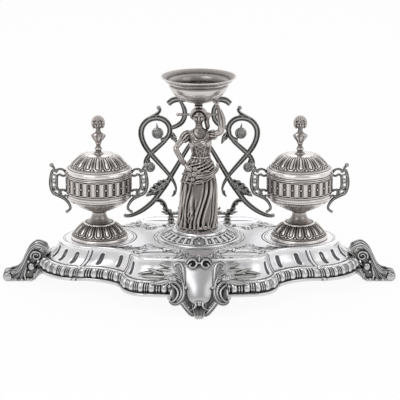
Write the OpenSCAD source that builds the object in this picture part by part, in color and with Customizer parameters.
// Desk inkstand: a lobed plateau on four cast feet carries two lidded urn
// inkwells, a caryatid figure under a dish, and a scroll pen rack behind it.
// Millimetres. Origin on the table under the figure, front towards -Y.

/* [Plateau] */
// Length of the flat top from end to end
top_l = 255; // [245:1:265]
// Depth of the flat top from front to back
top_d = 146; // [140:1:152]
// Height of the flat top above the table
top_h = 40.3; // [38:0.1:44]
// Thickness of the plateau's metal
metal_t = 1.8; // [1.5:0.1:2.2]
// Radius of each round end
end_r = 35; // [34:0.5:36.5]
// Radius of the hollow between an end and a corner lobe
hollow_r = 40.4; // [34:0.2:60]
// Radius of each corner lobe
corner_r = 20.5; // [18:0.5:22]
// Half length of the long edge between its corner lobes
corner_x = 40; // [37:0.5:42]
// How far the long edge bows out between the lobes
edge_bow = 2.5; // [1:0.5:4]
// How far the hollow wall flares out at its foot
wall_flare = 14.4; // [13:0.2:15.4]
// Height of the wall's foot above the table
wall_foot_h = 23; // [21:0.5:24.5]
// Length of each sunk slot in the wall
slot_l = 10; // [7:0.5:12]
// Width of each sunk slot in the wall
slot_w = 3; // [2:0.2:4]
// Depth of each pen hollow pressed into the flat top
pen_hollow_depth = 1.1; // [0.6:0.1:1.3]

/* [Border] */
// Height of the rim's underside above the table
rim_h = 12; // [10.5:0.5:13]
// Height of the rim moulding
rim_t = 2.8; // [2.2:0.2:3.4]
// How far the rim stands out past the flat top
rim_out = 21; // [20:0.5:22.5]
// Gadroon lobes from the end to the first break
lobes_end = 7; // [5:1:9]
// Gadroon lobes in each hollow
lobes_hollow = 4; // [3:1:5]
// Gadroon lobes round each corner
lobes_corner = 4; // [3:1:5]
// Gadroon lobes from a corner to the middle of the long edge
lobes_front = 4; // [3:1:5]
// How far each gadroon lobe bulges out
lobe_bulge = 3.2; // [2:0.2:3.6]

/* [Feet] */
// Reach of the side feet past the rim
side_reach = 31.5; // [28:0.5:34]
// Height of the side feet
side_foot_h = 34.6; // [32:0.2:36]
// Width of a side foot's middle tongue
side_foot_w = 14; // [10:1:20]
// Reach of the front and rear feet past the rim
front_reach = 24; // [22:0.5:26]
// Width between the big scrolls of the front foot
cartouche_w = 56; // [52:1:60]

/* [Wells] */
// Distance from the end of the flat top to each well's axis
well_inset = 36.3; // [35.5:0.1:38.5]
// Radius of the well's foot
well_foot_r = 26.3; // [24:0.1:28]
// Radius of the well's drum
well_r = 29.4; // [28.6:0.1:30]
// Height of the drum's lip above the flat top
well_h = 61.2; // [60:0.2:63]
// Wall of the drum
well_wall = 3.8; // [3:0.1:5]
// Number of raised panels on the frieze band
frieze_count = 24; // [16:1:30]
// Number of tongues on each foot and lid
tongue_count = 16; // [12:1:20]
// Wall of the glass liner
liner_wall = 2.4; // [1.8:0.1:3]
// Clearance of the liner in the drum
liner_gap = 0.3; // [0.2:0.05:0.5]
// Clearance of the lid's spigot in the drum
lid_gap = 0.3; // [0.2:0.05:0.5]
// Thickness of the handle castings
handle_t = 3.4; // [2.6:0.2:4]

/* [Figure and dish] */
// Radius of the pedestal's lower ring
pedestal_r = 37.3; // [35:0.1:39]
// Height of the pedestal above the flat top
pedestal_h = 9.8; // [8.5:0.1:11]
// Height of the figure from hem to crown
figure_h = 112.6; // [108:0.2:116]
// Lip radius of the dish
dish_r = 34.3; // [32:0.1:36]
// Height of the dish
dish_h = 25; // [22:0.5:26]
// Thickness of the dish's metal
dish_t = 1.6; // [1.2:0.1:2]

/* [Pen rack] */
// Distance of the rack's middle plane behind the figure
rack_y = 52; // [50:0.5:54]
// Thickness of the main scrolls
rack_t = 4; // [3:0.2:5]
// Width of the main scroll strap
strap_w = 3.6; // [3:0.1:4.2]
// Radius of the crossbar
crossbar_r = 1.3; // [1:0.1:1.6]

/* [Fasteners] */
// Radius of the well and figure studs
stud_r = 2; // [1.5:0.1:2.4]
// Radius of the rack studs
rack_stud_r = 1.5; // [1.2:0.1:1.8]
// Clearance of the studs in their holes
stud_gap = 0.25; // [0.15:0.05:0.4]
// Thickness of the nuts
nut_t = 3; // [2.4:0.2:4]
// Width of the nuts across their flats
nut_w = 8; // [7:0.5:9]

/* [Hidden] */

SILVER = "silver";
DARK = "gray";
GLASS = "lightcyan";

touch = 0.02;
half_l = top_l / 2;
half_d = top_d / 2;
well_x = half_l - well_inset;
end_a = 82.6;
rib_h = 1.1;
rib_w = 1.6;
facets = 64;

// The rack and the well handles are drawn on a flat top at this height, and the
// castings rise or sink with the real one
drawn_h = 40.3;
cast_lift = top_h - drawn_h;
under_top = top_h - metal_t;
drum_z = top_h + 24;
lip_z = top_h + well_h;
drum_floor_z = top_h + 38;
drum_bore_r = well_r - well_wall;
lid_seat = 0.15;
lid_z = lip_z + lid_seat;
spigot_h = 2.4;
fig_z = top_h + pedestal_h;
drawn_figure_h = 112.6;
fig_k = figure_h / drawn_figure_h;
crown_z = fig_z + figure_h;
socket_h = 3.2;
dish_z = crown_z + socket_h;
frieze_low = top_h + 43.4;
frieze_high = top_h + 59.6;
frieze_t = 0.9;

// Plan outline of the flat top
end_x = half_l - end_r;
break_1 = [end_x + end_r * cos(end_a), end_r * sin(end_a)];
break_2 = [corner_x + corner_r, half_d - edge_bow - corner_r];
chord = break_1 - break_2;
hollow_c = (break_1 + break_2) / 2
    + sqrt(hollow_r ^ 2 - norm(chord) ^ 2 / 4) * [-chord.y, chord.x] / norm(chord);
hollow_a1 = atan2(break_1.y - hollow_c.y, break_1.x - hollow_c.x);
hollow_a2 = atan2(break_2.y - hollow_c.y, break_2.x - hollow_c.x);

function end_pt(t) = [end_x + end_r * cos(end_a * t), end_r * sin(end_a * t)];
function hollow_pt(t) =
    let (a = hollow_a1 + (hollow_a2 - hollow_a1) * t)
    hollow_c + hollow_r * [cos(a), sin(a)];
function corner_pt(t) =
    [corner_x + corner_r * cos(90 * t), break_2.y + corner_r * sin(90 * t)];
function front_pt(t) = [corner_x * (1 - t), half_d - edge_bow * (1 - t) ^ 2];

// A quadrant from the long axis to the short one, with ribs at both breaks.
// The third number marks a rib.
rib_end = rib_w / (end_r * end_a * PI / 180);
rib_hollow = rib_w / norm(chord);
rib_corner = rib_w / (corner_r * PI / 2);
wall_quadrant = concat(
    [for (i = [0:6]) concat(end_pt(i / 7), 0)],
    [concat(end_pt(1 - rib_end), 0), concat(break_1, 1)],
    [for (t = [rib_hollow, 0.2, 0.4, 0.6, 0.8, 1 - rib_hollow]) concat(hollow_pt(t), 0)],
    [concat(break_2, 1), concat(corner_pt(rib_corner), 0)],
    [for (i = [1:4]) concat(corner_pt(i / 4), 0)],
    [for (i = [1:3]) concat(front_pt(i / 3), 0)]);

// A quadrant sampled four times in each gadroon lobe. The third number is how
// full the lobe is there: nothing in the groove, one on its crown.
fullness = [0, 0.86, 1, 0.86];
gadroon_quadrant = concat(
    [for (i = [0:4 * lobes_end - 1]) concat(end_pt(i / (4 * lobes_end)), fullness[i % 4])],
    [for (i = [0:4 * lobes_hollow - 1])
        concat(hollow_pt(i / (4 * lobes_hollow)), fullness[i % 4])],
    [for (i = [0:4 * lobes_corner - 1])
        concat(corner_pt(i / (4 * lobes_corner)), fullness[i % 4])],
    [for (i = [0:4 * lobes_front])
        concat(front_pt(i / (4 * lobes_front)), fullness[i % 4])]);

// The four quadrants joined into one ring, counter-clockwise
function whole(q) = let (m = len(q) - 1) concat(
    q,
    [for (i = [m - 1:-1:0]) [-q[i].x, q[i].y, q[i].z]],
    [for (i = [1:m]) [-q[i].x, -q[i].y, q[i].z]],
    [for (i = [m - 1:-1:1]) [q[i].x, -q[i].y, q[i].z]]);

// A ring moved out by o at height z, and by b more where its mark is one
function ring_at(ring, o, z, b) = [for (p = ring)
    [p.x * (1 + (o + b * p.z) / half_l), p.y * (1 + (o + b * p.z) / half_d), z]];

// A solid skinned over rings of equal length. A looped one joins its last ring
// to its first, any other is closed by its end rings.
module skin(rings, looped = false) {
    n = len(rings[0]);
    m = len(rings);
    bands = looped ? m : m - 1;
    sides = [for (r = [0:bands - 1], i = [0:n - 1])
        let (j = (i + 1) % n, s = (r + 1) % m)
        each [[r * n + i, r * n + j, s * n + j], [r * n + i, s * n + j, s * n + i]]];
    caps = looped ? [] : [[for (i = [n - 1:-1:0]) i], [for (i = [0:n - 1]) (m - 1) * n + i]];
    polyhedron([for (r = rings) each r], concat(sides, caps), convexity = 8);
}

// Smooth curve through chosen points
function blend(a, b, c, d, t) =
    0.5 * (2 * b + (c - a) * t + (2 * a - 5 * b + 4 * c - d) * t ^ 2
        + (3 * b - a - 3 * c + d) * t ^ 3);
function curve(p, steps) = let (m = len(p) - 1) concat(
    [for (i = [0:m - 1], k = [0:steps - 1])
        blend(p[max(i - 1, 0)], p[i], p[i + 1], p[min(i + 2, m)], k / steps)],
    [p[m]]);
function heading(p, i) =
    let (m = len(p) - 1, d = p[min(i + 1, m)] - p[max(i - 1, 0)]) d / norm(d);

// Flat strap along a smooth curve, its half width blended from w0 through w1
// in the middle to w2
module strap_2d(p, w0, w1, w2, steps = 5) {
    c = curve(p, steps);
    m = len(c) - 1;
    w = [for (i = [0:m]) let (t = 2 * i / m)
        t < 1 ? w0 + (w1 - w0) * t : w1 + (w2 - w1) * (t - 1)];
    polygon(concat(
        [for (i = [0:m]) let (h = heading(c, i)) c[i] + w[i] * [-h.y, h.x]],
        [for (i = [m:-1:0]) let (h = heading(c, i)) c[i] - w[i] * [-h.y, h.x]]));
}

// A flat casting that stands in the X-Z plane, its middle at y
module upright(y, t) {
    translate([0, y + t / 2, 0]) rotate([90, 0, 0]) linear_extrude(t) children();
}

// Tapered tube through chosen points with a radius for each
module limb(p, r, sides = 10) {
    rings = [for (i = [0:len(p) - 1])
        let (m = len(p) - 1,
            d = p[min(i + 1, m)] - p[max(i - 1, 0)],
            w = d / norm(d),
            u0 = cross(w, [0, 1, 0]),
            u = u0 / norm(u0),
            v = cross(w, u))
        [for (k = [0:sides - 1]) let (a = -360 * k / sides)
            p[i] + r[i] * (cos(a) * u + sin(a) * v)]];
    skin(rings);
}

// Pointed leaf along +X, domed on top, its root at the origin
module leaf(l, w, t) {
    outline = [[0, 0.14], [0.25, 0.46], [0.62, 0.44], [1, 0.06]];
    rings = [for (s = outline)
        [for (k = [0:5]) let (a = -60 * k)
            [l * s[0], w * s[1] * cos(a), t * (0.5 + 0.5 * sin(a)) * (1 - 0.4 * s[0])]]];
    skin(rings);
}

module hex_nut(z, bore) {
    translate([0, 0, z]) difference() {
        cylinder(h = nut_t, r = nut_w / sqrt(3), $fn = 6);
        translate([0, 0, -1]) cylinder(h = nut_t + 2, r = bore, $fn = facets);
    }
}

// Plateau wall, from the flat top's edge to its foot and up inside
wall_fall = top_h - wall_foot_h;
function wall_rings() = let (w = whole(wall_quadrant)) [
    ring_at(w, -4.2, top_h, 0),
    ring_at(w, -3.2, top_h - 0.6, 0),
    ring_at(w, -1.8, top_h + 0.5, 0),
    ring_at(w, 0, top_h + 0.2, 0),
    ring_at(w, 0.7, top_h - 1.1, rib_h),
    ring_at(w, wall_flare * 0.15, top_h - wall_fall * 0.36, rib_h),
    ring_at(w, wall_flare * 0.36, top_h - wall_fall * 0.65, rib_h),
    ring_at(w, wall_flare * 0.68, top_h - wall_fall * 0.86, rib_h),
    ring_at(w, wall_flare - 0.3, wall_foot_h + 1.2, rib_h / 2),
    ring_at(w, wall_flare, wall_foot_h, rib_h / 2),
    ring_at(w, wall_flare - 3.2, wall_foot_h, 0),
    ring_at(w, wall_flare * 0.68 - metal_t, top_h - wall_fall * 0.88, 0),
    ring_at(w, wall_flare * 0.2 - metal_t, top_h - wall_fall * 0.53, 0),
    ring_at(w, -1.2 - metal_t, under_top, 0)];

// Sunk slot that follows the hollow wall below the plan point p
slot_depth = 0.8;
module slot(p) {
    r = slot_w / 2;
    mid_z = top_h - wall_fall * 0.5;
    hull() for (z = [mid_z + slot_l * 0.42, mid_z - slot_l * 0.42]) {
        f = (top_h - z) / wall_fall;
        o = wall_flare * (0.05 + 0.12 * f + 0.5 * f ^ 2.6) + r - slot_depth;
        translate([p.x * (1 + o / half_l), p.y * (1 + o / half_d), z]) sphere(r, $fn = 6);
    }
}

slot_points = concat(
    [for (t = [0.27, 0.51, 0.77]) end_pt(t)],
    [for (t = [0.28, 0.72]) hollow_pt(t)],
    [corner_pt(0.34)]);
pen_hollow_l = 42;
pen_hollow_w = 21;
pen_hollow_at = [36, 52];

module plateau() color(SILVER) difference() {
    skin(wall_rings());
    for (sx = [-1, 1], sy = [-1, 1], p = slot_points) slot([sx * p.x, sy * p.y]);
    for (sx = [-1, 1], sy = [-1, 1])
        translate([sx * pen_hollow_at.x, sy * pen_hollow_at.y, top_h])
            scale([pen_hollow_l / 2, pen_hollow_w / 2, pen_hollow_depth])
                sphere(1, $fn = 14);
    for (x = [-well_x, 0, well_x])
        translate([x, 0, under_top - 1]) cylinder(h = 5, r = stud_r + stud_gap, $fn = 12);
    for (x = [-rack_foot_x, rack_foot_x])
        translate([x, rack_y, under_top - 1])
            cylinder(h = 5, r = rack_stud_r + stud_gap, $fn = 12);
}

border_in = wall_flare - 3.2;
rim_top = rim_h + rim_t;
module gadroon_border() color(SILVER) let (g = whole(gadroon_quadrant),
        fall = wall_foot_h - rim_top) skin([
    ring_at(g, border_in, wall_foot_h, 0),
    ring_at(g, wall_flare - 0.6, wall_foot_h, 0),
    ring_at(g, wall_flare - 0.1, wall_foot_h - fall * 0.16, lobe_bulge * 0.8),
    ring_at(g, rim_out - 1 - lobe_bulge, wall_foot_h - fall * 0.55, lobe_bulge),
    ring_at(g, rim_out - 1.4 - lobe_bulge, rim_top, lobe_bulge * 0.7),
    ring_at(g, rim_out - 7, rim_top, 0)], looped = true);

module rim_moulding() color(SILVER) let (w = whole(wall_quadrant)) skin([
    ring_at(w, rim_out - 7, rim_top, 0),
    ring_at(w, rim_out - 0.8, rim_top, 0.5),
    ring_at(w, rim_out, rim_top - 0.7, 0.5),
    ring_at(w, rim_out, rim_h + 0.7, 0.5),
    ring_at(w, rim_out - 0.7, rim_h, 0.5),
    ring_at(w, rim_out - 7, rim_h, 0)], looped = true);

// Side foot: leaf tongue, side scrolls and curled toe, drawn with the rim's
// outer edge as its zero and z up
foot_zero = half_l + rim_out;
ledge = 6;
seat_gap = 0.3;
volute_r = 5.2;
volute_at = [-1.2, side_foot_h - 11.6];
side_profile = [[seat_gap, rim_h - touch], [-ledge, rim_h - touch], [-ledge, rim_h - 4],
    [2, 3], [4, 0], [side_reach - 4, 0], [side_reach - 1, 1.6], [side_reach, 4.6],
    [side_reach - 1.6, 7.6], [side_reach - 5, 7.9], [side_reach - 9, 7],
    [side_reach - 13, 8.2], [side_reach - 16, 11.5], [side_reach - 18.4, 16],
    [side_reach - 20, 21], [9, side_foot_h - 9.3], [5.4, side_foot_h - 4.6],
    [2, side_foot_h - 1], [-0.6, side_foot_h], [-4.2, side_foot_h - 1],
    [-9.8, side_foot_h - 4.4], [-12, side_foot_h - 7.2], [-8.5, side_foot_h - 9.4],
    [-4, wall_foot_h + 0.8], [-0.4, wall_foot_h - 3], [seat_gap, rim_top + 2.4]];
scroll_profile = [[1.2, 5], [4, 0], [16, 0], [19, 2], [20.5, 4.6], [17.5, 7.5], [15.5, 11],
    [12.4, 15.4], [9.6, 19], [8, side_foot_h - 12], [3.4, side_foot_h - 5.4],
    [-1.6, side_foot_h - 4.8], [-5.4, side_foot_h - 8], [-3.4, wall_foot_h + 0.4],
    [1.2, wall_foot_h - 4]];
scroll_plate_t = 5;
module side_foot() {
    translate([foot_zero, 0, 0]) {
        upright(0, side_foot_w) polygon(side_profile);
        for (s = [-1, 1]) {
            y = s * (side_foot_w / 2 + scroll_plate_t / 2 - 0.5);
            upright(y, scroll_plate_t) polygon(scroll_profile);
            edge_y = y + s * scroll_plate_t / 2;
            translate([volute_at.x + 1.4, edge_y, volute_at.y])
                rotate([90, 0, 0]) volute_boss(volute_r);
            translate([6.5, edge_y - s * 1.4, 12.4]) sphere(4.6, $fn = facets);
            for (i = [0:3])
                translate([6 + 4.2 * i, edge_y - s * 0.6, 2.9]) sphere(2.9, $fn = facets);
        }
        translate([side_reach - 4.4, side_foot_w / 2 + 2.5, 4.4]) rotate([90, 0, 0])
            cylinder(h = side_foot_w + 5, r = 4.38, $fn = facets);
    }
}

// Round scroll eye seen end on: a disc, a groove and a raised button
module volute_boss(r) {
    translate([0, 0, -1.6]) rotate_extrude($fn = facets)
        polygon([[0, 0], [r, 0], [r, 2.2], [r - 0.8, 2.9], [r * 0.66, 2.9], [r * 0.56, 2],
            [r * 0.4, 2], [r * 0.3, 3.2], [0, 3.4]]);
}

module left_foot() color(DARK) mirror([1, 0, 0]) side_foot();
module right_foot() color(DARK) side_foot();

// Front foot: a plain bulged shield between C-scrolls, leaning out over the
// border, its toe on the table. Each row of the shield holds how far in front of
// the rim it lies, its height and its half width.
cart_zero = half_d + rim_out;
shield_rows = [[-14.5, top_h + 1.2, 9], [-9.8, top_h - 1.2, 17.5], [-5.6, top_h - 6.3, 16],
    [-1.6, top_h - 12.5, 14.2], [1.8, 20.5, 12.8], [5.4, 14, 11], [9.6, 9, 7.4],
    [front_reach - 10.4, 5.6, 3.4]];
shield_t = 3.4;
module shield() {
    across = [-1, -0.8, -0.5, -0.2, 0.2, 0.5, 0.8, 1];
    rings = [for (s = shield_rows) concat(
        [for (a = across) [a * s[2], -cart_zero - s[0] - shield_t * (1 - a ^ 2) * 0.8, s[1]]],
        [for (k = [7:-1:0]) let (a = across[k])
            [a * s[2], -cart_zero - s[0] + shield_t * (0.5 + 0.2 * (1 - a ^ 2)), s[1]]])];
    skin(rings);
}

// The scrolls lie on a plane that leans back with the shield
lean = 33;
lean_z = top_h - 22.3;
module leaning(t) {
    translate([0, -cart_zero - 1.5, lean_z]) rotate([90 - lean, 0, 0])
        translate([0, 0, -t / 2]) linear_extrude(t) children();
}

big_scroll = [[-17.6, 26.4], [-22, 26.2], [-23.6, 22], [-20, 17.6], [-16.2, 12], [-14.8, 3],
    [-14.8, -6], [-17, -12.6], [-21.8, -15.6], [-26.6, -14], [-27.8, -9.4]];
toe_strap = [[-14.6, -8], [-12, -14.4], [-7.6, -19.6], [-3, -23]];
module front_foot() difference() {
    foot_casting();
    // level underside
    translate([-cartouche_w, -cart_zero - front_reach - 20, -30])
        cube([2 * cartouche_w, front_reach + 60, 30]);
    // seat cut over the gadroon border
    translate([-cartouche_w, -cart_zero + 1 - seat_gap, rim_top])
        cube([2 * cartouche_w, 14, wall_foot_h + seat_gap - rim_top]);
}
module foot_casting() {
    k = cartouche_w / 56;
    shield();
    for (m = [0, 1]) mirror([m, 0, 0]) {
        leaning(6.4) strap_2d(k * big_scroll, 1.1, 2.7, 1.1);
        leaning(5.6) translate(k * [-26.6, -8.4]) circle(2.1, $fn = facets);
        leaning(7.6) strap_2d(k * toe_strap, 2.2, 2.6, 2.4);
    }
    for (s = [-1, 1]) {
        translate([s * 13.6, -cart_zero - 4.6, 17.4]) sphere(1.9, $fn = 10);
        translate([s * 4.6, -half_d - 4.2, top_h - 0.6]) rotate([90, 0, 0])
            volute_boss(3.4);
    }
    // toe block and the ledge that the rim stands on
    translate([-6, 0, 0]) rotate([90, 0, 90]) linear_extrude(12) polygon([
        [-cart_zero - front_reach + 1.5, 0], [-cart_zero - front_reach, 1.6],
        [-cart_zero - front_reach + 0.8, 4], [-cart_zero - front_reach + 6, 6.4],
        [-cart_zero - 12, 8.4], [-cart_zero - 4, 14], [-cart_zero - seat_gap, 16.5],
        [-cart_zero - seat_gap, rim_h - touch], [-cart_zero + ledge, rim_h - touch],
        [-cart_zero + ledge, rim_h - 4], [-cart_zero - 4, 5], [-cart_zero - 9, 0]]);
}
module front_cartouche() color(DARK) front_foot();
module rear_cartouche() color(DARK) rotate([0, 0, 180]) front_foot();

// Leaf sprays with berries, lying off the wall on both sides of a shield
spray_at = [-24.4, -14.6, top_h - 9.1];
spray_leaves = [[146, 15, 5.4], [164, 20, 6.4], [180, 25, 7.2], [197, 19, 6]];
spray_sweep = -14;
module one_side_spray() {
    translate([spray_at.x, spray_at.y - half_d, spray_at.z]) {
        for (s = spray_leaves) rotate([0, 0, spray_sweep]) rotate([62, 0, 0])
            rotate([0, 0, s[0]]) leaf(s[1], s[2], 2.2);
        for (p = [[0, -1, 2], [0.6, -1.4, -0.8], [-1.4, -1.4, -0.4]])
            translate(p) sphere(1.8, $fn = 8);
    }
}
module sprays() {
    one_side_spray();
    mirror([1, 0, 0]) one_side_spray();
}
module front_leaf_sprays() color(DARK) sprays();
module rear_leaf_sprays() color(DARK) rotate([0, 0, 180]) sprays();

// Pedestal: a gadrooned slope between two rings
slope_count = 24;
pedestal_in_r = pedestal_r - 14.4;
module pedestal() color(SILVER) difference() {
    union() {
        translate([0, 0, top_h]) rotate_extrude($fn = facets) polygon([[0, 0],
            [pedestal_r, 0], [pedestal_r, 1.2], [pedestal_r - 1.2, 1.9],
            [pedestal_r - 2.6, 1.4], [pedestal_r - 3.4, 2.2],
            [pedestal_in_r + 5, pedestal_h - 3.4], [pedestal_in_r + 1.4, pedestal_h - 2],
            [pedestal_in_r + 1.2, pedestal_h - 0.5], [pedestal_in_r, pedestal_h],
            [0, pedestal_h]]);
        for (i = [0:slope_count - 1]) rotate([0, 0, i * 360 / slope_count])
            translate([0, 0, top_h]) rotate_extrude(angle = 240 / slope_count, $fn = facets)
                polygon([[pedestal_r - 3.6, 1.2], [pedestal_r - 4.2, 3.2],
                    [pedestal_r - 7, 4.8], [pedestal_in_r + 3.4, pedestal_h - 1.8],
                    [pedestal_in_r + 2, pedestal_h - 3.2]]);
    }
    translate([0, 0, top_h - 1]) cylinder(h = pedestal_h + 2, r = stud_r + stud_gap,
        $fn = facets);
}

// Figure: rows of height, half width, half depth, centre and fold depth
body_rows = [[0, 17.4, 13.4, -1.2, -0.5, 0.1], [3, 18.4, 13.6, -1.2, -0.5, 0.1],
    [12, 17.2, 12.4, -0.9, -0.3, 0.1], [26, 16.2, 11.8, -0.6, 0, 0.085],
    [40, 15.4, 11.4, 0, 0, 0.07], [50, 14.2, 11, 0.4, 0, 0.055],
    [58, 12.4, 10, 0.8, 0, 0.04], [64, 9.4, 7.6, 1.2, 0, 0.02],
    [67.5, 8.4, 6.4, 1.4, -0.2, 0], [72, 9.2, 7.4, 1.4, -0.6, 0],
    [78, 10.4, 9, 1, -1.2, 0], [83, 10.6, 8.2, 0.6, -0.4, 0],
    [88, 11.6, 6, 0.2, 0.6, 0], [91, 7.4, 4.6, 0, 1, 0], [93, 3.6, 3.4, 0, 1, 0],
    [97.5, 3.2, 3.2, 0, 0.4, 0]];
body_sides = 36;
fold_count = 9;
module body_form() skin([for (k = [len(body_rows) - 1:-1:0]) let (r = body_rows[k])
    [for (i = [0:body_sides - 1])
        let (a = 360 * i / body_sides, f = 1 + r[5] * cos(fold_count * a + 20 * sin(a)))
        [r[3] + r[1] * f * cos(a), r[4] + r[2] * f * sin(a), r[0]]]]);

// Head with a calm plain oval, the hair drawn back to a knot at the side
head_rows = [[95.4, 1.4, 1.6, -1.6], [96.6, 3.1, 3.4, -1.1], [99.4, 4.5, 5, -0.4],
    [103, 5, 5.7, 0.2], [106.6, 4.8, 5.6, 0.6], [109.6, 3.6, 4.4, 1], [111.2, 1.6, 2.2, 1.2]];
head_sides = 18;
module head_form() skin([for (k = [len(head_rows) - 1:-1:0]) let (r = head_rows[k])
    [for (i = [0:head_sides - 1]) let (a = 360 * i / head_sides)
        [-0.5 + r[1] * cos(a), r[3] + r[2] * sin(a), r[0]]]]);
module hair_form() {
    hull() {
        translate([-0.5, 1.8, 106]) sphere(6.5, $fn = 12);
        translate([-0.5, 3, 102]) sphere(5.6, $fn = 10);
    }
    hull() {
        translate([6.2, 1.6, 107]) sphere(2.9, $fn = 10);
        translate([5.4, 2, 102.6]) sphere(2.2, $fn = 10);
    }
    for (p = [[-6, 0.8, 105.4], [-5.6, 0.4, 101.6]]) hull() {
        translate(p) sphere(1.7, $fn = 6);
        translate([p.x + 1, p.y + 1.6, p.z + 1.4]) sphere(1.7, $fn = 6);
    }
    hull() {
        translate([-0.5, -5.4, 101.4]) sphere(0.7, $fn = 8);
        translate([-0.5, -4.4, 104.2]) sphere(0.5, $fn = 8);
    }
}

// Flowers gathered at the hip, and the shoe under the hem
posy = [[-7.6, -9.8, 56.5], [-4.2, -11, 57.5], [-8.4, -11, 51.5], [-4.6, -12, 52.6],
    [-0.6, -11.6, 54.6], [-1.6, -12.2, 50], [-5.8, -12.2, 47.8]];
// Bores from the base and the crown, and the blocks that trim both ends level
stud_bore_h = 40;
screw_bore_z = 104;
trim_w = 60;
trim_h = 10;
module figure() color(SILVER) translate([0, 0, fig_z]) scale(fig_k) difference() {
    union() {
        body_form();
        head_form();
        hair_form();
        for (p = posy) hull() {
            translate(p) sphere(2.2, $fn = 6);
            translate([p.x + 0.8, p.y + 1.4, p.z + 0.4]) sphere(2, $fn = 6);
        }
        hull() {
            translate([1.6, -14.6, 2.2]) sphere(2.2, $fn = 10);
            translate([0.8, -10, 2.6]) sphere(2.6, $fn = 10);
        }
    }
    translate([0, 0, -1]) cylinder(h = stud_bore_h + 1, r = (stud_r + stud_gap) / fig_k,
        $fn = 16);
    translate([-0.5, 1, screw_bore_z]) cylinder(h = drawn_figure_h - screw_bore_z + 1,
        r = dish_screw_r / fig_k, $fn = 12);
    for (z = [-trim_h, drawn_figure_h])
        translate([-trim_w / 2, -trim_w / 2, z]) cube([trim_w, trim_w, trim_h]);
    for (s = [lowered_path, raised_path]) shoulder_cut(s);
}

// Arms, each a separate casting pinned into a socket at the shoulder
arm_r = 2.7;
lowered_path = [[-11, 0.6, 86.4], [-15.6, 0.2, 81.4], [-20.4, -0.8, 75.4], [-20.8, -2.4, 73.2],
    [-17.6, -5, 67.4], [-13.4, -7.6, 60.8], [-10.6, -9.6, 58.6]];
lowered_radii = [3.2, 3.1, 2.6, 2.6, 2.5, 1.9, 1.9];
raised_path = [[11, 0.4, 86.2], [15, -0.6, 87.6], [18.6, -1.4, 89.6], [19.8, -1.4, 93],
    [19.4, -1.2, 100], [17.8, -0.8, 108], [16.4, -0.2, 114], [14.8, 0.4, 118]];
raised_radii = [3.3, 3.2, 2.8, 2.8, 3.2, 2.3, 1.6, 1.6];
module shoulder_cut(p) {
    d = (p[1] - p[0]) / norm(p[1] - p[0]);
    translate(p[0] - d * 0.2) rotate([0, acos(d.z), atan2(d.y, d.x)])
        cylinder(h = 12, r = 3.5, $fn = 16);
}
module lowered_arm() color(SILVER) translate([0, 0, fig_z]) scale(fig_k)
    limb(lowered_path, lowered_radii);
module raised_arm() color(SILVER) translate([0, 0, fig_z]) scale(fig_k)
    limb(raised_path, raised_radii);

module figure_stud() color(DARK) translate([0, 0, under_top - nut_t - 2])
    cylinder(h = fig_z + 36 - under_top + nut_t + 2, r = stud_r, $fn = facets);
module figure_nut() color(DARK) hex_nut(under_top - nut_t - touch, stud_r + 0.05);

// Socket on the crown and the turned dish above it
dish_screw_r = 1.2;
dish_x = -0.5 * fig_k;
dish_y = 1 * fig_k;
dish_seat_r = 4;
dish_floor = dish_t * 1.6;
module dish_socket() color(SILVER) translate([dish_x, dish_y, crown_z]) difference() {
    rotate_extrude($fn = facets) polygon([[0, 0], [4.4, 0], [3.4, 1.2], [4.2, socket_h - 0.6],
        [4.6, socket_h], [0, socket_h]]);
    translate([0, 0, -1]) cylinder(h = socket_h + 2, r = dish_screw_r + 0.1, $fn = facets);
}

// Dish wall as rows of radius share and height share, outside from the foot up
dish_rows = [[0.13, 0], [0.33, 0.07], [0.5, 0.17], [0.64, 0.31], [0.72, 0.46], [0.755, 0.62],
    [0.765, 0.66], [0.79, 0.71], [0.86, 0.78], [0.91, 0.86], [0.98, 0.94], [1, 1]];
module top_dish() color(SILVER) translate([dish_x, dish_y, dish_z]) difference() {
    rotate_extrude($fn = facets) polygon(concat([[0, 0]],
        [for (p = dish_rows) [dish_r * p[0], dish_h * p[1]]],
        [for (i = [len(dish_rows) - 1:-1:1]) let (p = dish_rows[i])
            [max(dish_r * p[0] - dish_t, 0.1), min(dish_h * p[1] + dish_t * 0.9, dish_h)]],
        [[dish_seat_r, dish_floor], [0, dish_floor]]));
    translate([0, 0, -1]) cylinder(h = 6, r = dish_screw_r + 0.1, $fn = facets);
}
module dish_screw() color(DARK) translate([dish_x, dish_y, 0]) {
    translate([0, 0, crown_z - 7]) cylinder(h = dish_z - crown_z + 7 + dish_t * 1.9,
        r = dish_screw_r - 0.05, $fn = facets);
    translate([0, 0, dish_z + dish_floor + touch]) rotate_extrude($fn = facets)
        polygon([[0, 0], [2.6, 0], [2.6, 0.7], [1.6, 1.5], [0, 1.7]]);
}

// Pen rack: heart scroll, inner C-scroll and raking bar, drawn for the left side
// in the plane behind the figure
heart = [[-22.4, 73.4], [-25, 80.5], [-32, 90.3], [-40.6, 99.2], [-48, 107.2], [-53.4, 116],
    [-55.6, 124], [-54.4, 132], [-50, 137.4], [-43, 139.8], [-35.6, 139.2], [-29, 135],
    [-25.8, 128.6], [-26.6, 121.8], [-31, 117.6], [-36.8, 117.2], [-41.4, 120],
    [-43, 124.4], [-41, 127.8]];
crest = [[-44, 138.6], [-38, 141.4], [-35.4, 144.8], [-37.4, 149]];
inner_c = [[-19.6, 154.8], [-15.4, 150], [-13, 144], [-14.6, 136.6], [-19.4, 131.4],
    [-25, 127.6]];
inner_tail = [[-27, 123.6], [-32, 118.6], [-37.6, 112.8], [-43.4, 107], [-48.6, 101.4],
    [-51.2, 95.6], [-48.6, 90.6], [-44.4, 89.4], [-41.4, 92]];
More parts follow.
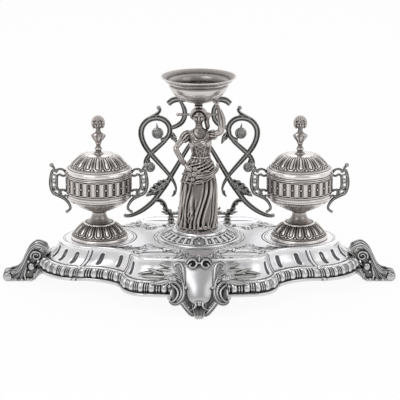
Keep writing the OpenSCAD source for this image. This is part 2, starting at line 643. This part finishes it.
raking_bar = [[0, 124.6], [-7.4, 111.6], [-15, 99.2], [-23.5, 84.4], [-33, 69.6],
    [-42.6, 58.4], [-50.4, 50.8], [-58.4, 45], [-65, 43.2], [-69, 45.2]];
foot_bracket = [[-41, 57.4], [-36, 58.6], [-32.6, 54.6], [-31, 49], [-27.6, 46.2]];
acanthus = [[-25.4, 81.6], [-33, 75.4], [-41.4, 68.6], [-49.6, 64.2], [-50.6, 60.6],
    [-48.4, 58.6], [-42.8, 59.8], [-36, 66.8]];
spur = [[-24.6, 124.8], [-20, 122.6], [-22.6, 119.4], [-19.4, 116.4], [-22.4, 112.6],
    [-19.8, 109.2], [-24, 110.6], [-27.4, 116.4]];
flat_hook = [[-29, 153.6], [-24.6, 157.6], [-15.6, 157.6], [-12.6, 153.6], [-19.4, 152.6]];
hem_hook = [[-21.2, 75.4], [-23.6, 72.6], [-26, 71], [-24.4, 68.6], [-21.4, 69.6], [-20.4, 73]];
rack_foot_x = 26.4;
module rack_scroll() {
    k = strap_w / 3.6;
    translate([0, 0, cast_lift]) rack_straps(k);
    translate([-rack_foot_x, rack_y, top_h + touch]) difference() {
        rotate_extrude($fn = facets) polygon([[0, 0], [3.6, 0], [3.6, 1.6], [2.8, 4.6],
            [1.8, 6.6], [0, 7]]);
        translate([0, 0, -1]) cylinder(h = 5.4, r = rack_stud_r + 0.05, $fn = facets);
    }
}
module rack_straps(k) {
    upright(rack_y, rack_t) {
        strap_2d(heart, 1.3 * k, 1.95 * k, 1.3 * k, 4);
        strap_2d(crest, 1 * k, 1.7 * k, 0.9 * k, 4);
        translate([-37.6, 149.4]) circle(1.9, $fn = facets);
        translate([-38.6, 124.6]) circle(2.9, $fn = facets);
        polygon(hem_hook);
    }
    upright(rack_y + 0.3, rack_t - 1) {
        strap_2d(inner_c, 1.5 * k, 1.8 * k, 1.3 * k, 4);
        strap_2d(inner_tail, 1.2 * k, 1.8 * k, 1.2 * k, 4);
        translate([-43.4, 92.6]) circle(2.9, $fn = facets);
        polygon(flat_hook);
        polygon(spur);
    }
    upright(rack_y + 0.1, rack_t - 0.5) {
        difference() {
            strap_2d(raking_bar, 1.5 * k, 1.9 * k, 2.2 * k, 4);
            translate([-touch / 2, 90]) square([20, 60]);
        }
        strap_2d(foot_bracket, 1.3 * k, 1.6 * k, 1.5 * k, 4);
        polygon(acanthus);
    }
}
module left_rack_scroll() color(DARK) difference() {
    rack_scroll();
    crossbar_bore();
}
module right_rack_scroll() color(DARK) mirror([1, 0, 0]) difference() {
    rack_scroll();
    crossbar_bore();
}

// Crossbar with a ball on each end, through both inner scrolls
crossbar_z = cast_lift + 143;
crossbar_half = 19.4;
module crossbar_bore() {
    translate([-30, rack_y, crossbar_z]) rotate([0, 90, 0])
        cylinder(h = 60, r = crossbar_r + touch, $fn = facets);
}
module rack_crossbar() color(SILVER) {
    translate([-crossbar_half, rack_y, crossbar_z]) rotate([0, 90, 0])
        cylinder(h = 2 * crossbar_half, r = crossbar_r, $fn = facets);
    for (s = [-1, 1]) translate([s * crossbar_half, rack_y, crossbar_z])
        sphere(crossbar_r + 0.8, $fn = facets);
}
module rack_studs() color(DARK) for (s = [-1, 1])
    translate([s * rack_foot_x, rack_y, under_top - nut_t - 1.5])
        cylinder(h = metal_t + nut_t + 5.4, r = rack_stud_r, $fn = facets);
module rack_nuts() color(DARK) for (s = [-1, 1]) translate([s * rack_foot_x, rack_y, 0])
    hex_nut(under_top - nut_t - touch, rack_stud_r + 0.05);

// Well foot: ring, tongued dome and hollow stem, heights above the flat top
foot_ring_h = 3;
dome_low = [well_foot_r - 2.2, foot_ring_h + 0.6];
dome_high = [well_foot_r - 12.4, 13.4];
stem_r = 6;
function dome_pt(low, high, t, up) =
    [low.x + (high.x - low.x) * t, low.y + (high.y - low.y) * t + up * sin(180 * t)];
module well_foot() translate([0, 0, top_h + touch]) difference() {
    union() {
        rotate_extrude($fn = facets) polygon(concat([[0, 0], [well_foot_r - 0.4, 0],
            [well_foot_r, 0.6], [well_foot_r, foot_ring_h - 0.8],
            [well_foot_r - 0.8, foot_ring_h]],
            [for (i = [0:5]) dome_pt(dome_low, dome_high, i / 5, 1.4)],
            [[dome_high.x + 0.6, 13.9], [dome_high.x, 14.6], [dome_high.x - 2.4, 15],
                [8.6, 17.2], [7, 19.4], [stem_r, 22.1], [stem_r, drum_z - top_h - 0.1],
                [0, drum_z - top_h - 0.1]]));
        for (i = [0:tongue_count - 1]) rotate([0, 0, i * 360 / tongue_count])
            rotate_extrude(angle = 190 / tongue_count, $fn = facets)
                polygon(concat([for (i = [0:4]) dome_pt(dome_low, dome_high, 0.1 + 0.18 * i, 2.3)],
                    [dome_high - [1.6, 1.6], dome_low - [3, 0]]));
    }
    translate([0, 0, -1]) cylinder(h = 30, r = stud_r + stud_gap, $fn = facets);
}

// Drum: open cup with bead lines and a lip, bored for the glass liner
module well_drum() {
    h = lip_z - drum_z;
    r = well_r;
    translate([0, 0, drum_z]) difference() {
        rotate_extrude($fn = facets) polygon([[0, 0], [7, 0], [7.6, 0.9], [12, 3],
            [18.6, 6.4], [24, 9.6], [27.3, 12.4], [r - 0.8, 14.4], [r + 0.4, 15.4],
            [r - 0.4, 16.2], [r + 0.3, 17.6], [r - 0.4, 18.6], [r, frieze_low - drum_z],
            [r, frieze_high - drum_z], [r + 1.1, h - 1], [r + 1.1, h - 0.3], [r + 0.6, h],
            [0, h]]);
        translate([0, 0, drum_floor_z - drum_z]) cylinder(h = 40, r = drum_bore_r,
            $fn = facets);
        translate([0, 0, -1]) cylinder(h = drum_stud_in + 1, r = stud_r + stud_gap,
            $fn = facets);
    }
}
drum_stud_in = 9;

// Frieze band: a sleeve round the drum with raised upright panels
module frieze_band() {
    h = frieze_high - frieze_low - 2 * touch;
    in_r = well_r + touch;
    translate([0, 0, frieze_low + touch]) difference() {
        union() {
            cylinder(h = h, r = in_r + frieze_t * 0.5, $fn = facets);
            for (i = [0:frieze_count - 1]) rotate([0, 0, i * 360 / frieze_count])
                translate([0, 0, 0.7]) rotate_extrude(angle = 190 / frieze_count, $fn = facets)
                    translate([in_r, 0]) square([frieze_t, h - 1.4]);
        }
        translate([0, 0, -1]) cylinder(h = h + 2, r = in_r, $fn = facets);
    }
}

// Pierced scroll handle in the plane of the well's axis, drawn outward
handle_rim = [[37.4, 101.4], [41.4, 103.4], [43.4, 97], [43.6, 89], [41.4, 82.4], [36.6, 79.6],
    [31, 76.4], [27.2, 71.6], [26.2, 67.4], [29, 64.6]];
handle_inner = [[34, 99.6], [37.4, 98.4], [38.2, 93], [38, 87.4], [36, 84.6], [33.2, 85.6]];
handle_holes = [[41, 97], [41.2, 89.6], [38.6, 83]];
top_loop = [[30, 101], [32.4, 104], [36, 104.4], [39.2, 102.6]];
low_loop = [[30, 83.6], [32.6, 85], [34.8, 83.2], [34, 80.4]];
module one_handle() {
    translate([0, 0, cast_lift]) difference() {
        upright(0, handle_t) difference() {
            union() {
                strap_2d(handle_rim, 1, 1.5, 0.9, 4);
                strap_2d(handle_inner, 0.9, 1.1, 0.9, 4);
                strap_2d(top_loop, 0.9, 0.8, 0.9, 4);
                strap_2d(low_loop, 0.9, 0.8, 0.9, 4);
                strap_2d([[30, 99], [32.4, 98], [35, 99.4]], 0.9, 0.8, 0.9, 4);
                strap_2d([[30, 80], [32.4, 78.8], [35.4, 80]], 0.9, 0.9, 0.9, 4);
                for (p = handle_holes) translate(p) circle(2.9, $fn = facets);
                translate([29.8, 64.4]) circle(1.5, $fn = facets);
                strap_2d([[40.6, 102.6], [40.4, 105.4], [42.2, 107.6]], 1.3, 1, 1, 4);
            }
            for (p = handle_holes) translate(p) circle(1.75, $fn = facets);
        }
    }
    translate([42.6, 0, cast_lift + 108.2]) sphere(2.1, $fn = facets);
}
module well_handles() difference() {
    union() {
        one_handle();
        mirror([1, 0, 0]) one_handle();
    }
    translate([0, 0, drum_z + 13]) cylinder(h = lip_z + 20 - drum_z, r = well_r + 1.1 + touch,
        $fn = facets);
}

// Liner: glass cup in the drum
liner_z = drum_floor_z + touch;
liner_top = lip_z - spigot_h - 0.8;
liner_r = drum_bore_r - liner_gap;
module well_liner() translate([0, 0, liner_z]) difference() {
    cylinder(h = liner_top - liner_z, r = liner_r, $fn = facets);
    translate([0, 0, 3]) cylinder(h = liner_top - liner_z, r = liner_r - liner_wall,
        $fn = facets);
}

// Lid: rolled rim, tongued dome and spigot, hollow inside
lid_r = well_r + 0.7;
lid_low = [lid_r - 5.2, 7];
lid_high = [12.7, 16.6];
lid_top_h = 17.4;
lid_metal = 1.8;
module well_lid() translate([0, 0, lid_z]) difference() {
    union() {
        rotate_extrude($fn = facets) polygon(concat([[0, 0], [lid_r - 0.8, 0], [lid_r, 1],
            [lid_r + 0.3, 2.4], [lid_r - 0.6, 4], [lid_r - 2.4, 4.8], [lid_r - 3.8, 6]],
            [for (i = [0:5]) dome_pt(lid_low, lid_high, i / 5, 1.5)],
            [[lid_high.x - 1.4, lid_high.y + 0.3], [4, lid_top_h], [0, lid_top_h]]));
        for (i = [0:tongue_count - 1]) rotate([0, 0, i * 360 / tongue_count])
            rotate_extrude(angle = 190 / tongue_count, $fn = facets)
                polygon(concat([for (i = [0:4]) dome_pt(lid_low, lid_high, 0.08 + 0.19 * i, 2.2)],
                    [lid_high - [1.6, 1.6], lid_low - [3, 0]]));
        translate([0, 0, -spigot_h]) cylinder(h = spigot_h + 1,
            r = drum_bore_r - lid_gap, $fn = facets);
    }
    translate([0, 0, -spigot_h - 1]) rotate_extrude($fn = facets) polygon([[0, 0],
        [drum_bore_r - lid_gap - lid_metal, 0],
        [drum_bore_r - lid_gap - lid_metal, spigot_h + 3], [lid_low.x - 3, spigot_h + 7],
        [lid_high.x - 2.4, lid_high.y + spigot_h + 0.2], [0, lid_high.y + spigot_h + 0.2]]);
    translate([0, 0, lid_top_h - 5]) cylinder(h = 8, r = finial_pin_r + 0.05, $fn = facets);
}

// Finial: a turned socle under a small plain bust
finial_pin_r = 1.5;
finial_z = lid_z + lid_top_h + touch;
module lid_finial() translate([0, 0, finial_z]) {
    rotate_extrude($fn = facets) polygon([[0, 0], [4.6, 0], [4.6, 0.8], [3.4, 1.6],
        [2.5, 2.6], [3, 4], [3.6, 4.8], [3.4, 5.8], [2.2, 6.8], [2, 8], [2.6, 9.2],
        [4.8, 11.6], [6.3, 13.6], [6.4, 15], [5, 16], [2.8, 17.2], [2, 19.2], [2, 24],
        [0, 24]]);
    translate([0, 0, 28.7]) sphere(6.3, $fn = facets);
    translate([0, 0, -4]) cylinder(h = 5, r = finial_pin_r, $fn = facets);
}

module well_stud() translate([0, 0, under_top - nut_t - 2])
    cylinder(h = drum_z + drum_stud_in - 1 - under_top + nut_t + 2, r = stud_r,
        $fn = facets);
module well_nut() hex_nut(under_top - nut_t - touch, stud_r + 0.05);

module at_well(side) translate([side * well_x, 0, 0]) children();
module left_well_foot() color(SILVER) at_well(-1) well_foot();
module right_well_foot() color(SILVER) at_well(1) well_foot();
module left_well_drum() color(SILVER) at_well(-1) well_drum();
module right_well_drum() color(SILVER) at_well(1) well_drum();
module left_frieze_band() color(DARK) at_well(-1) frieze_band();
module right_frieze_band() color(DARK) at_well(1) frieze_band();
module left_well_handles() color(DARK) at_well(-1) well_handles();
module right_well_handles() color(DARK) at_well(1) well_handles();
module left_well_liner() color(GLASS) at_well(-1) well_liner();
module right_well_liner() color(GLASS) at_well(1) well_liner();
module left_well_lid() color(SILVER) at_well(-1) well_lid();
module right_well_lid() color(SILVER) at_well(1) well_lid();
module left_lid_finial() color(SILVER) at_well(-1) lid_finial();
module right_lid_finial() color(SILVER) at_well(1) lid_finial();
module left_well_stud() color(DARK) at_well(-1) well_stud();
module right_well_stud() color(DARK) at_well(1) well_stud();
module left_well_nut() color(DARK) at_well(-1) well_nut();
module right_well_nut() color(DARK) at_well(1) well_nut();

plateau();
gadroon_border();
rim_moulding();
front_cartouche();
rear_cartouche();
front_leaf_sprays();
rear_leaf_sprays();
left_foot();
right_foot();
pedestal();
figure();
lowered_arm();
raised_arm();
figure_stud();
figure_nut();
dish_socket();
top_dish();
dish_screw();
left_rack_scroll();
right_rack_scroll();
rack_crossbar();
rack_studs();
rack_nuts();
left_well_foot();
right_well_foot();
left_well_drum();
right_well_drum();
left_frieze_band();
right_frieze_band();
left_well_handles();
right_well_handles();
left_well_liner();
right_well_liner();
left_well_lid();
right_well_lid();
left_lid_finial();
right_lid_finial();
left_well_stud();
right_well_stud();
left_well_nut();
right_well_nut();
